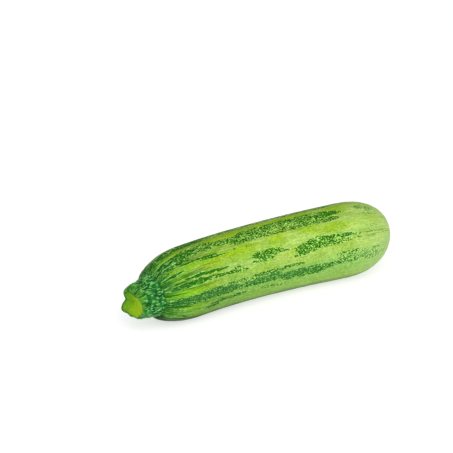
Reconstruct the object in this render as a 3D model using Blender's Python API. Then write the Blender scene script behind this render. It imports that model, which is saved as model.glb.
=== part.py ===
"""A striped zucchini lying on a surface: the bent, softly ribbed fruit and the ridged stub of its cut stem.

Metres, +Z up. The long axis runs along X, with the stem at -X, and the bend lies in the XY plane.
The origin is under the middle of the zucchini, on the surface that it lies on.
"""

import math
import random

import bmesh
import bpy
from mathutils import Vector

# Lengths along the zucchini, measured from the join between fruit and stem
FRUIT_LENGTH = 0.168
STUB_LENGTH = 0.0142
JOIN_GAP = 0.0003

# The fruit's girth, fatter towards the blossom end
BODY_RADIUS = 0.0225
TAPER = 0.105

# The rounded shoulder where the fruit meets the stem, and the blunt blossom end
NECK_RADIUS = 0.0124
SHOULDER_LENGTH = 0.027
SHOULDER_POWER = 0.65
TIP_LENGTH = 0.036
TIP_POWER = 2.6

# The stub widens from the cut to the fruit. Its rim is sharp below, and on top the skin rolls over into the cut
CUT_RADIUS = 0.0093
FLARE_POWER = 1.4
RIM_ROUNDING = 0.0009
ROLLED_RIM = 0.0040
ROLL_ANGLE = math.radians(105)
ROLL_WIDTH = math.radians(60)
CUT_DISH = 0.0006

# The fruit bends sideways in one long bow, as deep as this
BOW = 0.0110

# Both ends rise a little: the stub from the join to the cut, and the blossom end from this far along the fruit
STUB_LIFT = 0.0008
TIP_LIFT = 0.0022
TIP_LIFT_START = 0.123

# It lies on a narrow flat, as deep as this under the round of the fruit
FLAT_DEPTH = 0.0005

# Ten ribs run the length of the fruit, and each grows out of a ridge of the stem. The ridges' strengths
# start at the first rib and go round by way of the near side: one is so weak that it is a notch. On their
# way to the cut they twist a little
RIB_COUNT = 10
RIB_PHASE = math.radians(112)
RIB_JITTER = math.radians(3)
RIB_SEED = 11
RIDGE_WIDTH = math.radians(16)
RIDGE_AT_CUT = 0.20
RIDGE_AT_JOIN = 0.06
RIDGE_TWIST = math.radians(8)
RIDGE_STRENGTHS = (0.4, 0.4, 0.3, 0.6, 0.8, 0.8, 2.2, -1.3, 0.1, 0.5)
FURROW_WIDTH = math.radians(7)
FURROW_AT_SHOULDER = 0.050
FURROW_AT_MIDDLE = 0.011
FURROW_FADE = 0.040
RIDGE_RUN_OUT = 0.010

# Slow swellings that keep the fruit from looking turned on a lathe
SWELLING = 0.010

# The corky scar that the blossom left: a low lip round a shallow pit
SCAR_RADIUS = 0.0032
SCAR_LIP = 0.0004
SCAR_PIT = 0.0006

# Facets
SIDES = 60
FRUIT_RINGS = 46
STUB_RINGS = 16

SKIN_GREEN = (0.27, 0.46, 0.08, 1)
STEM_GREEN = (0.10, 0.27, 0.09, 1)


def smooth_step(share):
    """0 below 0, 1 above 1, and a smooth turn between them."""
    share = min(max(share, 0.0), 1.0)
    return share * share * (3 - 2 * share)


def rib_angles():
    """The angle of each rib, evenly spaced but for a small seeded jitter."""
    draw = random.Random(RIB_SEED)
    step = 2 * math.pi / RIB_COUNT
    return [RIB_PHASE + i * step + draw.uniform(-RIB_JITTER, RIB_JITTER) for i in range(RIB_COUNT)]


RIB_ANGLES = rib_angles()


def bump(angle, centre, width):
    """A rounded bump round a section, 1 at its centre."""
    apart = math.remainder(angle - centre, 2 * math.pi)
    return math.exp(-((apart / width) ** 2))


def ridges(angle):
    """The stem's ridges round a section."""
    return sum(
        strength * bump(angle, centre, RIDGE_WIDTH)
        for strength, centre in zip(RIDGE_STRENGTHS, RIB_ANGLES)
    )


def furrows(angle):
    """The narrow furrows between the fruit's ribs, as depths below the crests."""
    half_step = math.pi / RIB_COUNT
    return -sum(bump(angle, centre + half_step, FURROW_WIDTH) for centre in RIB_ANGLES)


def body_radius(along):
    """The fruit's radius along its length, before the ends are rounded."""
    share = min(max(along / FRUIT_LENGTH, 0.0), 1.0)
    return BODY_RADIUS * (1 + TAPER * (share - 0.5))


def fruit_radius(along):
    """The mean radius of the fruit, from the neck at the stem to nothing at the blossom end."""
    body = body_radius(along)
    from_belly = max(1 - along / SHOULDER_LENGTH, 0.0)
    shoulder = NECK_RADIUS + (body - NECK_RADIUS) * (1 - from_belly**2) ** SHOULDER_POWER
    into_tip = max((along - FRUIT_LENGTH + TIP_LENGTH) / TIP_LENGTH, 0.0)
    return shoulder * math.sqrt(max(1 - into_tip**TIP_POWER, 0.0))


def fruit_relief(along, angle):
    """How far the skin stands in or out, as a share of the radius."""
    near_stem = 1 - smooth_step(along / RIDGE_RUN_OUT)
    depth = FURROW_AT_MIDDLE + (FURROW_AT_SHOULDER - FURROW_AT_MIDDLE) * math.exp(-along / FURROW_FADE)
    depth *= 1 - smooth_step((along - FRUIT_LENGTH + TIP_LENGTH) / TIP_LENGTH)
    turns = 2 * math.pi * along / FRUIT_LENGTH
    swelling = math.sin(2 * angle + turns) + math.sin(3 * angle - 1.7 * turns + 1.0)
    ribbed = (1 - near_stem) * depth * furrows(angle)
    return near_stem * RIDGE_AT_JOIN * ridges(angle) + ribbed + SWELLING * swelling / 2


def stub_radius(from_cut):
    """The mean radius of the stub, from 0 at the cut to 1 at the join."""
    return CUT_RADIUS + (NECK_RADIUS - CUT_RADIUS) * from_cut**FLARE_POWER


def rim_rounding(angle):
    """How far in from the stub's outline the cut face starts."""
    return RIM_ROUNDING + ROLLED_RIM * bump(angle, ROLL_ANGLE, ROLL_WIDTH)


def stub_relief(from_cut, angle):
    """The ridges of the stub, strongest at the cut, as a share of the radius."""
    strength = RIDGE_AT_CUT + (RIDGE_AT_JOIN - RIDGE_AT_CUT) * smooth_step(from_cut)
    return strength * ridges(angle + RIDGE_TWIST * (1 - from_cut))


def centreline(along):
    """The middle of the section at a length along the zucchini."""
    middle = (FRUIT_LENGTH - STUB_LENGTH) / 2
    half = (FRUIT_LENGTH + STUB_LENGTH) / 2
    into_stub = max(-along / STUB_LENGTH, 0.0)
    into_tip = max(along - TIP_LIFT_START, 0.0) / (FRUIT_LENGTH - TIP_LIFT_START)
    y = -BOW * ((along - middle) / half) ** 2
    z = body_radius(along) - FLAT_DEPTH + STUB_LIFT * into_stub**2 + TIP_LIFT * into_tip**2
    return Vector((along, y, z))


def section_point(along, angle, radius):
    """A point of the upright section across the bend. Angle 0 is towards +Y and 90 degrees is up."""
    step = 0.0005
    forward = centreline(along + step) - centreline(along - step)
    upward = Vector((0, 0, 1))
    sideways = upward.cross(forward).normalized()
    return centreline(along) + radius * (math.cos(angle) * sideways + math.sin(angle) * upward)


def scar_offset(radius):
    """How far the blossom end stands out along the axis round its scar."""
    lip = SCAR_LIP * math.exp(-(((radius - SCAR_RADIUS) / (0.5 * SCAR_RADIUS)) ** 2))
    return lip - SCAR_PIT * math.exp(-((2 * radius / SCAR_RADIUS) ** 2))


def fruit_point(ring, angle):
    """Where the fruit's vertex of this ring and angle lies. Ring 0 is the middle of the join."""
    if ring == 0:
        return section_point(0.0, angle, 0.0)
    share = (1 - math.cos(math.pi * (ring - 1) / (FRUIT_RINGS - 1))) / 2
    along = share * FRUIT_LENGTH
    radius = fruit_radius(along) * (1 + fruit_relief(along, angle))
    into_tip = smooth_step((along - FRUIT_LENGTH + TIP_LENGTH / 2) / (TIP_LENGTH / 2))
    return section_point(along + into_tip * scar_offset(radius), angle, radius)


def stub_point(ring, angle):
    """Where the stub's vertex of this ring and angle lies. Ring 0 is the middle of the join, the last the cut."""
    base = -JOIN_GAP
    if ring == 0:
        return section_point(base, angle, 0.0)
    if ring == STUB_RINGS:
        return section_point(CUT_DISH - STUB_LENGTH, angle, 0.0)
    rounding = rim_rounding(angle)
    side_rings = STUB_RINGS - 5
    if ring <= side_rings:
        from_cut = 1 - (ring - 1) / (side_rings - 1)
        along = base - (1 - from_cut) * (STUB_LENGTH - rounding + base)
        return section_point(along, angle, stub_radius(from_cut) * (1 + stub_relief(from_cut, angle)))
    outline = stub_radius(0.0) * (1 + stub_relief(0.0, angle))
    inset, behind_cut = {
        side_rings + 1: (0.12 * rounding, 0.53 * rounding),
        side_rings + 2: (0.47 * rounding, 0.14 * rounding),
        side_rings + 3: (rounding, 0.0),
        side_rings + 4: (0.5 * (outline + rounding), 0.7 * CUT_DISH),
    }[ring]
    return section_point(behind_cut - STUB_LENGTH, angle, outline - inset)


def shaped_sphere(name, rings, point, material):
    """An object made from a UV sphere, with each vertex moved to where point(ring, angle) says."""
    shape = bmesh.new()
    bmesh.ops.create_uvsphere(shape, u_segments=SIDES, v_segments=rings, radius=1.0)
    for vertex in shape.verts:
        ring = round(math.acos(min(max(vertex.co.z, -1.0), 1.0)) * rings / math.pi)
        angle = math.atan2(vertex.co.y, vertex.co.x)
        place = point(ring, angle)
        place.z = max(place.z, 0.0)
        vertex.co = place
    bmesh.ops.recalc_face_normals(shape, faces=shape.faces)
    if shape.calc_volume(signed=True) < 0:
        bmesh.ops.reverse_faces(shape, faces=shape.faces)
    mesh = bpy.data.meshes.new(name)
    shape.to_mesh(mesh)
    shape.free()
    mesh.materials.append(material)
    mesh.shade_smooth()
    return bpy.data.objects.new(name, mesh)


def plant_material(name, colour, roughness):
    """A plain opaque material of one colour."""
    material = bpy.data.materials.new(name)
    material.use_nodes = True
    shader = material.node_tree.nodes["Principled BSDF"]
    shader.inputs["Base Color"].default_value = colour
    shader.inputs["Roughness"].default_value = roughness
    shader.inputs["Metallic"].default_value = 0.0
    return material


def centre_over_origin(objects):
    """Shifts the meshes sideways so that the middle of their common box is over the origin."""
    points = [vertex.co for obj in objects for vertex in obj.data.vertices]
    middle_x = (min(p.x for p in points) + max(p.x for p in points)) / 2
    middle_y = (min(p.y for p in points) + max(p.y for p in points)) / 2
    for obj in objects:
        for vertex in obj.data.vertices:
            vertex.co -= Vector((middle_x, middle_y, 0.0))


def main():
    for obj in list(bpy.data.objects):
        bpy.data.objects.remove(obj)
    skin = plant_material("skin", SKIN_GREEN, 0.35)
    stem = plant_material("stem", STEM_GREEN, 0.6)
    parts = [
        shaped_sphere("fruit", FRUIT_RINGS, fruit_point, skin),
        shaped_sphere("stem_stub", STUB_RINGS, stub_point, stem),
    ]
    centre_over_origin(parts)
    zucchini = bpy.data.collections.new("zucchini")
    bpy.context.scene.collection.children.link(zucchini)
    for part in parts:
        zucchini.objects.link(part)


main()
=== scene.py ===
# %% [markdown]
# A striped zucchini, lying on a pale table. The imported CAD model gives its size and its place: the bent fruit
# and the stub of the cut stem. This notebook dresses those two solids. Each gets a fine skin that follows the
# same formulas as the solid under it, so that the two agree, and then colours that are painted by nodes.

# %% Load the frame
import math
import random

import bmesh
import bpy
import numpy as np
from mathutils import Matrix, Vector, noise


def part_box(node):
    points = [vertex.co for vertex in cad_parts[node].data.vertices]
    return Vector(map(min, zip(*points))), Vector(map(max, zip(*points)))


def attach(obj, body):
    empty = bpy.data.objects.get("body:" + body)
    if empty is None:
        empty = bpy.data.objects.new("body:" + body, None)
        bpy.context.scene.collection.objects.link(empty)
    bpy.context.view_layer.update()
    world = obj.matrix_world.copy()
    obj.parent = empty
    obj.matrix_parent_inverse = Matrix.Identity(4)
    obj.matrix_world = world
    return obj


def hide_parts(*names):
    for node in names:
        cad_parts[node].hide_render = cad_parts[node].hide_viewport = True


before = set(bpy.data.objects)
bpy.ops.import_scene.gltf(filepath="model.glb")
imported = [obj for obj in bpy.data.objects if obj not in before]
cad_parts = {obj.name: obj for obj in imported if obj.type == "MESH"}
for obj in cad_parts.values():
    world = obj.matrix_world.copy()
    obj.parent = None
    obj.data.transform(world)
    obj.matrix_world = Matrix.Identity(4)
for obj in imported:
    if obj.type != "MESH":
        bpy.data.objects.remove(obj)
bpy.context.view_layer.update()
print("CAD nodes:", sorted(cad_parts))

# %% [markdown]
# The fruit's form is a turned shape that is then bent. Its driving sizes are the CAD's own, in metres, so
# they carry the same names and values here. Lengths run from the join between stem and fruit.

# %% Driving sizes
FRUIT_LENGTH = 0.168
STUB_LENGTH = 0.0142
BODY_RADIUS = 0.0225
TAPER = 0.105
NECK_RADIUS = 0.0124
SHOULDER_LENGTH = 0.027
SHOULDER_POWER = 0.65
TIP_LENGTH = 0.036
TIP_POWER = 2.6
CUT_RADIUS = 0.0093
FLARE_POWER = 1.4
RIM_ROUNDING = 0.0009
ROLLED_RIM = 0.0040
ROLL_ANGLE = math.radians(105)
ROLL_WIDTH = math.radians(60)
CUT_DISH = 0.0006
BOW = 0.0110
STUB_LIFT = 0.0008
TIP_LIFT = 0.0022
TIP_LIFT_START = 0.123
FLAT_DEPTH = 0.0005

# %% Driving sizes of the ribs, the ridges and the scar
RIB_COUNT = 10
RIB_PHASE = math.radians(112)
RIB_JITTER = math.radians(3)
RIB_SEED = 11
RIDGE_WIDTH = math.radians(16)
RIDGE_AT_CUT = 0.20
RIDGE_AT_JOIN = 0.06
RIDGE_TWIST = math.radians(8)
RIDGE_STRENGTHS = (0.4, 0.4, 0.3, 0.6, 0.8, 0.8, 2.2, -1.3, 0.1, 0.5)
FURROW_WIDTH = math.radians(7)
FURROW_AT_SHOULDER = 0.050
FURROW_AT_MIDDLE = 0.011
FURROW_FADE = 0.040
RIDGE_RUN_OUT = 0.010
SWELLING = 0.010
SCAR_RADIUS = 0.0032
SCAR_LIP = 0.0004
SCAR_PIT = 0.0006

# %% [markdown]
# These functions say how thick the fruit is at each length, and how far its skin stands in or out round a
# section. A zucchini has broad ribs with narrow furrows between them, deep at the shoulder and faint further
# on. The functions take whole numpy arrays, because the fine skin has nearly a hundred thousand points.

# %% Thickness along the fruit
def smooth_step(share):
    """0 below 0, 1 above 1, and a smooth turn between them."""
    share = np.clip(share, 0.0, 1.0)
    return share * share * (3 - 2 * share)


def body_radius(along):
    """The fruit's radius before its ends are rounded."""
    return BODY_RADIUS * (1 + TAPER * (np.clip(along / FRUIT_LENGTH, 0.0, 1.0) - 0.5))


def fruit_radius(along):
    """The mean radius of the fruit, from the neck at the stem to nothing at the blossom end."""
    from_belly = np.clip(1 - along / SHOULDER_LENGTH, 0.0, 1.0)
    swell = (1 - from_belly**2) ** SHOULDER_POWER
    shoulder = NECK_RADIUS + (body_radius(along) - NECK_RADIUS) * swell
    into_tip = np.clip((along - FRUIT_LENGTH + TIP_LENGTH) / TIP_LENGTH, 0.0, 1.0)
    return shoulder * np.sqrt(np.clip(1 - into_tip**TIP_POWER, 0.0, 1.0))


print("thickest", round(2000 * float(fruit_radius(np.linspace(0, FRUIT_LENGTH, 99)).max()), 1), "mm")

# %% Ribs and furrows round the fruit
rib_draw = random.Random(RIB_SEED)
RIB_ANGLES = [
    RIB_PHASE + i * 2 * math.pi / RIB_COUNT + rib_draw.uniform(-RIB_JITTER, RIB_JITTER)
    for i in range(RIB_COUNT)
]


def apart(angle, centre):
    """The signed angle from centre to angle, the short way round."""
    return (angle - centre + math.pi) % (2 * math.pi) - math.pi


def bump(angle, centre, width):
    """A rounded bump round a section, 1 at its centre."""
    return np.exp(-((apart(angle, centre) / width) ** 2))


def ridges(angle):
    """The stem's ridges round a section."""
    return sum(s * bump(angle, centre, RIDGE_WIDTH) for s, centre in zip(RIDGE_STRENGTHS, RIB_ANGLES))


def furrows(angle):
    """The narrow furrows between the fruit's ribs, as depths below the crests."""
    return -sum(bump(angle, centre, FURROW_WIDTH) for centre in RIB_ANGLES)


print("furrows at", [round(math.degrees(a)) % 360 for a in RIB_ANGLES], "degrees")

# %% Relief that the CAD has too
def fruit_relief(along, angle):
    """How far the skin stands in or out, as a share of the radius."""
    near_stem = 1 - smooth_step(along / RIDGE_RUN_OUT)
    depth = FURROW_AT_MIDDLE + (FURROW_AT_SHOULDER - FURROW_AT_MIDDLE) * np.exp(-along / FURROW_FADE)
    depth = depth * (1 - smooth_step((along - FRUIT_LENGTH + TIP_LENGTH) / TIP_LENGTH))
    turns = 2 * math.pi * along / FRUIT_LENGTH
    swelling = np.sin(2 * angle + turns) + np.sin(3 * angle - 1.7 * turns + 1.0)
    ribbed = (1 - near_stem) * depth * furrows(angle)
    return near_stem * RIDGE_AT_JOIN * ridges(angle) + ribbed + SWELLING * swelling / 2


# %% [markdown]
# The bend comes last. The middle of each section moves onto a bowed line, and the section stays upright
# across it. A curve modifier could bend the mesh too, but then other pieces couldn't ask where a point goes.
# Whatever would sink below the table is pressed flat, as the skin is where the fruit lies.

# %% The bent line and its sections
def centreline(along):
    """The middles of the sections at these lengths, as an array of points."""
    middle = (FRUIT_LENGTH - STUB_LENGTH) / 2
    half = (FRUIT_LENGTH + STUB_LENGTH) / 2
    into_stub = np.clip(-along / STUB_LENGTH, 0.0, None)
    into_tip = np.clip(along - TIP_LIFT_START, 0.0, None) / (FRUIT_LENGTH - TIP_LIFT_START)
    y = -BOW * ((along - middle) / half) ** 2
    z = body_radius(along) - FLAT_DEPTH + STUB_LIFT * into_stub**2 + TIP_LIFT * into_tip**2
    return np.stack([along, y, z], axis=-1)


def bent(along, angle, radius):
    """The points at these lengths, angles and radii. Angle 0 is towards +Y and 90 degrees is up."""
    step = 0.0005
    forward = centreline(along + step) - centreline(along - step)
    sideways = np.stack([-forward[:, 1], forward[:, 0], np.zeros(len(along))], axis=-1)
    sideways /= np.linalg.norm(sideways, axis=1)[:, None]
    points = centreline(along) + sideways * (radius * np.cos(angle))[:, None]
    points[:, 2] = np.maximum(points[:, 2] + radius * np.sin(angle), 0.0)
    return points


# %% [markdown]
# The fruit's skin starts as its side view: a row of points from the join to the blossom end. A full spin
# turns it into a closed skin. A sculpted mesh would need a brush, and a sphere would crowd its points at the
# poles. A spun profile lets each ring stand where the shape needs it: closer together at both ends, where the
# skin curves fast, and closest over the small scar.

# %% Profile and spin helpers
def spun(profile, sides):
    """A closed bmesh made by spinning (length, radius) pairs round the X axis, starting from +Y."""
    shape = bmesh.new()
    row = [shape.verts.new((length, radius, 0.0)) for length, radius in profile]
    edges = [shape.edges.new(pair) for pair in zip(row, row[1:])]
    bmesh.ops.spin(
        shape,
        geom=row + edges,
        cent=(0, 0, 0),
        axis=(1, 0, 0),
        dvec=(0, 0, 0),
        angle=2 * math.pi,
        steps=sides,
        use_merge=True,
    )
    bmesh.ops.remove_doubles(shape, verts=shape.verts, dist=1e-7)
    bmesh.ops.recalc_face_normals(shape, faces=shape.faces)
    return shape


def cylinder_places(shape):
    """The length, angle and radius of each vertex of a spun shape, as arrays."""
    co = np.array([vertex.co for vertex in shape.verts])
    return co[:, 0], np.arctan2(co[:, 2], co[:, 1]), np.hypot(co[:, 1], co[:, 2])


# %% Spin the fruit
SKIN_SIDES = 400
SKIN_RINGS = 218
END_SHARE = 0.55
SCAR_RINGS = 20
SCAR_REACH = 1.5 * SCAR_RADIUS
RING_GAP = 0.0001

ring_share = np.linspace(0, 1, SKIN_RINGS)
rounded_share = (1 - np.cos(math.pi * ring_share)) / 2
ring_along = FRUIT_LENGTH * (END_SHARE * rounded_share + (1 - END_SHARE) * ring_share)
scar_radii = np.linspace(SCAR_REACH, 0, SCAR_RINGS)
from_full = (1 - (scar_radii / body_radius(FRUIT_LENGTH)) ** 2) ** (1 / TIP_POWER)
scar_along = FRUIT_LENGTH - TIP_LENGTH * (1 - from_full)
ring_along = np.concatenate([ring_along[ring_along < scar_along[0] - RING_GAP], scar_along])
skin_profile = [(0.0, 0.0)] + list(zip(ring_along.tolist(), fruit_radius(ring_along).tolist()))
skin_shape = spun(skin_profile, SKIN_SIDES)
along, angle, mean_radius = cylinder_places(skin_shape)
print("skin:", len(skin_shape.verts), "points")

# %% [markdown]
# A real skin is never as smooth as a formula. Near the stem it is gathered into twice as many small pleats as
# there are ribs, lengthwise it is faintly drawn, and everywhere it has shallow dimples. These are real
# movements of the mesh, a tenth of a millimetre or so, so the mesh itself has them, not only its shading.

# %% Fine relief
PLEAT_DEPTH = 0.00042
PLEAT_FADE = 0.014
PLEAT_WIDTH = math.radians(4.5)
PLEAT_START = 0.004
DRAWN_DEPTH = 0.00013
DRAWN_NOISE = (0.030, 0.0022, 3.0)
DIMPLE_DEPTH = 0.00009
DIMPLE_NOISE = (0.0032, 0.0021, 9.0)


def skin_noise(along, angle, cell_along, cell_round, seed):
    """Smooth random heights from -1 to 1 over the skin, with cells of this length and width in metres."""
    around = BODY_RADIUS / cell_round
    return np.array(
        [
            noise.noise(Vector((a / cell_along + seed, around * c, around * s)))
            for a, c, s in zip(along.tolist(), np.cos(angle).tolist(), np.sin(angle).tolist())
        ]
    )


pleats = -sum(bump(angle, centre + math.pi / RIB_COUNT, PLEAT_WIDTH) for centre in RIB_ANGLES)
pleats = PLEAT_DEPTH * pleats * np.exp(-along / PLEAT_FADE) * smooth_step(along / PLEAT_START)
drawn = DRAWN_DEPTH * skin_noise(along, angle, *DRAWN_NOISE)
dimples = DIMPLE_DEPTH * skin_noise(along, angle, *DIMPLE_NOISE)
fine_relief = pleats + drawn + dimples
print("fine relief up to", round(1000 * float(np.abs(fine_relief).max()), 2), "mm")

# %% [markdown]
# Where the blossom sat there is a corky scar: a low lip round a pit, with small creases that run in to it.
# It could be a piece of its own, but on the real fruit the skin runs on into it without a join. So its points
# are moved along the axis instead.

# %% Blossom scar, then bend the skin
CREASE_COUNT = 13
CREASE_DEPTH = 0.00022
SMOOTH_TIP = 0.004


def scar_offset(radius):
    """How far the blossom end stands out along the axis round its scar."""
    lip = SCAR_LIP * np.exp(-(((radius - SCAR_RADIUS) / (0.5 * SCAR_RADIUS)) ** 2))
    return lip - SCAR_PIT * np.exp(-((2 * radius / SCAR_RADIUS) ** 2))


def scar_creases(radius, angle):
    """Small creases that run in to the scar."""
    near_lip = np.exp(-(((radius - 1.25 * SCAR_RADIUS) / (0.6 * SCAR_RADIUS)) ** 2))
    return -CREASE_DEPTH * near_lip * (0.5 + 0.5 * np.cos(CREASE_COUNT * angle + 2 * np.sin(3 * angle)))


radius = mean_radius * (1 + fruit_relief(along, angle))
radius += fine_relief * np.minimum(mean_radius / SMOOTH_TIP, 1.0)
at_tip = smooth_step((along - FRUIT_LENGTH + TIP_LENGTH / 2) / (TIP_LENGTH / 2))
scar_shift = at_tip * (scar_offset(radius) + scar_creases(radius, angle))
skin_points = bent(along + scar_shift, angle, radius)
print("scar moves the skin by up to", round(1000 * float(np.abs(scar_shift).max()), 2), "mm")

# %% [markdown]
# The CAD puts the origin under the middle of the whole zucchini. The same shift brings these points there:
# the middle of the skin's box goes onto the middle of the fruit's box.

# %% Put the skin on the fruit
fruit_low, fruit_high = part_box("fruit")
skin_middle = (skin_points.min(axis=0) + skin_points.max(axis=0)) / 2
to_frame = np.array((fruit_low + fruit_high) / 2) - skin_middle
to_frame[2] = 0.0


def place_vertices(shape, points):
    """Moves each vertex of a shape to its point, shifted into the frame."""
    for vertex, point in zip(shape.verts, (points + to_frame).tolist()):
        vertex.co = point


place_vertices(skin_shape, skin_points)
print("shift into the frame", np.round(1000 * to_frame, 2), "mm")

# %% [markdown]
# Every finished piece rides on the CAD's body, and two of them take the place of the solid that they cover.
# Each mesh keeps a few attributes, numbers on its points that the colours can read later. One of them is each
# point's place on the fruit as it was before the bend, so that no marking is squeezed where the fruit bends.

# %% Turn a shape into a piece
def in_scene(name, data):
    """A new object with this data, linked to the scene."""
    obj = bpy.data.objects.new(name, data)
    bpy.context.scene.collection.objects.link(obj)
    return obj


def mesh_of(name, shape):
    """A mesh made from a bmesh, which is freed."""
    mesh = bpy.data.meshes.new(name)
    shape.to_mesh(mesh)
    shape.free()
    return mesh


def piece(name, shape, replaces=None):
    """A smooth object of this shape that rides on the zucchini."""
    mesh = mesh_of(name, shape)
    mesh.shade_smooth()
    obj = in_scene(name, mesh)
    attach(obj, "root")
    if replaces:
        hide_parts(replaces)
    return obj


def keep_number(obj, name, values):
    """Stores one number for each point of a piece."""
    obj.data.attributes.new(name, "FLOAT", "POINT").data.foreach_set("value", values.astype(np.float32))


def keep_vector(obj, name, vectors):
    """Stores one vector for each point of a piece."""
    layer = obj.data.attributes.new(name, "FLOAT_VECTOR", "POINT")
    layer.data.foreach_set("vector", vectors.astype(np.float32).ravel())


# %% Make the skin piece and lay its map
MAP_SEAM = math.radians(270)


def lay_map(obj, along, angle, length_start, length_end):
    """A map for baking: round the piece across, and along it upwards, with the seam underneath."""
    layer = obj.data.uv_layers.new(name="OFBake")
    share_round = ((angle - MAP_SEAM) / (2 * math.pi)) % 1.0
    share_round[share_round > 0.9999] = 0.0
    share_up = (along - length_start) / (length_end - length_start)
    for face in obj.data.polygons:
        corners = [(i, obj.data.loops[i].vertex_index) for i in face.loop_indices]
        across = [share_round[v] for i, v in corners]
        wraps = max(across) - min(across) > 0.5
        for (i, v), u in zip(corners, across):
            layer.data[i].uv = (u + 1.0 if wraps and u < 0.5 else u, share_up[v])


skin = piece("fruit_skin", skin_shape, replaces="fruit")
lay_map(skin, along, angle, 0.0, FRUIT_LENGTH)
straight = np.stack([along, BODY_RADIUS * np.cos(angle), BODY_RADIUS * np.sin(angle)], axis=-1)
keep_vector(skin, "straight", straight)
print("skin faces:", len(skin.data.polygons))

# %% [markdown]
# Now the markings. A zucchini of this kind is pale green with broken dark bands that run lengthwise. Each
# band is a chain of strokes, as a painter would set them: some broad and lacy, some as thin as a pencil line.
# Waves or noise alone would give even stripes, and real bands stop, fork and start again. A stroke is (from
# mm, to mm, angle at its start, angle at its end, half width in degrees, strength).

# %% Strokes that the camera sees
SHOULDER_STROKES = [
    (-3, 24, 74, 74, 7.5, 1.15), (16, 46, 74, 74, 9.0, 1.15), (40, 70, 73, 72, 7.0, 0.85),
    (62, 98, 72, 71, 7.0, 0.90), (92, 134, 72, 72, 7.5, 0.92), (130, 146, 73, 74, 3.5, 0.70),
    (-2, 14, 86, 84, 2.0, 0.75), (30, 44, 83, 84, 1.6, 0.65), (58, 76, 84, 83, 1.8, 0.65),
]
TOP_STROKES = [
    (-6, 16, 98, 99, 6.0, 1.10), (3, 28, 100, 101, 7.0, 1.15), (-6, 24, 111, 112, 5.2, 1.12),
    (19, 45, 99, 101, 8.8, 0.93), (40, 63, 102, 107, 6.0, 1.00), (52, 84, 114, 115, 4.5, 0.92),
    (58, 84, 102, 103, 9.2, 1.03), (77, 104, 99, 99, 6.0, 1.12), (80, 106, 110, 111, 5.5, 0.74),
    (79, 104, 118, 118, 1.6, 1.10), (98, 128, 101, 102, 8.4, 1.08), (99, 130, 113, 114, 5.5, 0.92),
    (117, 133, 100, 103, 6.0, 1.20), (130, 139, 104, 110, 1.8, 0.85), (142, 158, 98, 108, 6.5, 0.70),
    (146, 156, 114, 116, 3.0, 0.68),
]
THIN_STROKES = [
    (-3, 16, 130, 131, 3.0, 1.30), (-3, 8, 122, 121, 2.0, 0.80), (13, 41, 119.5, 122, 2.0, 1.35),
    (26, 47, 124, 127, 1.9, 1.30), (50, 54, 124, 124, 1.5, 0.80), (59, 67, 126, 125, 1.6, 0.88),
]
MIDDLE_STROKES = [
    (-3, 7, 147, 146, 2.2, 0.80), (-3, 8, 156, 155, 2.2, 0.80), (12, 44, 145, 148.5, 2.3, 1.40),
    (18, 28, 143, 145, 2.6, 1.35), (2, 29, 155, 155, 4.8, 1.30), (18, 42, 154, 157, 3.0, 1.15),
    (38, 57, 157, 160, 2.3, 1.15), (45, 56, 153, 156, 3.4, 0.72), (61, 85, 145, 146, 5.6, 1.08),
    (61, 78, 153, 153, 3.6, 1.05), (80, 94, 148, 149, 1.6, 0.78), (91, 109, 161, 156, 3.8, 1.00),
    (93, 121, 153, 150, 7.4, 1.06), (102, 118, 144, 143, 4.0, 0.97), (113, 136, 144, 146, 3.0, 1.15),
    (130, 144, 147, 148, 1.8, 0.90), (112, 134, 154, 153, 4.0, 0.82), (135, 141, 153, 153, 1.8, 0.78),
    (145, 154, 138, 139, 1.8, 0.80), (142, 165, 148, 149, 1.7, 0.78), (143, 154, 154, 154, 2.2, 0.85),
    (155, 164, 154, 154, 1.6, 0.70),
]
LOW_STROKES = [
    (-3, 14, 176, 178, 2.4, 0.90), (-6, 22, 186, 184, 5.5, 1.10), (1, 50, 182, 183, 7.5, 1.22),
    (19, 62, 175, 176, 3.2, 0.85), (39, 64, 185, 185, 5.2, 1.05), (57, 84, 176, 176, 4.2, 1.02),
    (57, 84, 185, 186, 6.5, 1.14), (77, 100, 174, 175, 2.4, 0.85), (79, 97, 188, 189, 6.5, 1.10),
    (82, 92, 194, 195, 3.8, 0.75), (89, 115, 189, 191, 8.0, 1.18), (107, 124, 188, 188, 5.0, 1.05),
    (117, 145, 185, 187, 4.0, 0.84), (121, 144, 173, 174, 3.6, 0.72), (122, 145, 179, 180, 3.4, 0.66),
    (140, 159, 185, 188, 7.0, 0.62), (143, 157, 176, 178, 3.0, 0.60),
]
FLECK_STROKES = [
    (-3, 13, 199, 201, 2.4, 0.90), (3, 17, 208, 209, 1.8, 0.95), (20, 36, 206, 204, 2.4, 1.20),
    (28, 56, 199, 198, 3.0, 1.25), (60, 65, 194, 195, 2.0, 0.72), (66, 77, 199, 200, 3.8, 0.74),
    (77, 88, 202, 204, 3.4, 0.70),
]

# %% [markdown]
# The far side isn't in view, but it is as much part of the zucchini. Its bands follow a rule that copies the
# habits of the near ones: a chain of strokes of changing length and width, with thin lines beside them, that
# pale towards the blossom end. The draw is seeded, so it comes out the same each time.

# %% Strokes for the far side
FAR_BANDS = (30, 354, 318, 280, 242)
FAR_SEED = 23
FAR_END = 138
FAR_NARROWING = 0.3 / 160
LINE_CHANCE = 0.6


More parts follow.
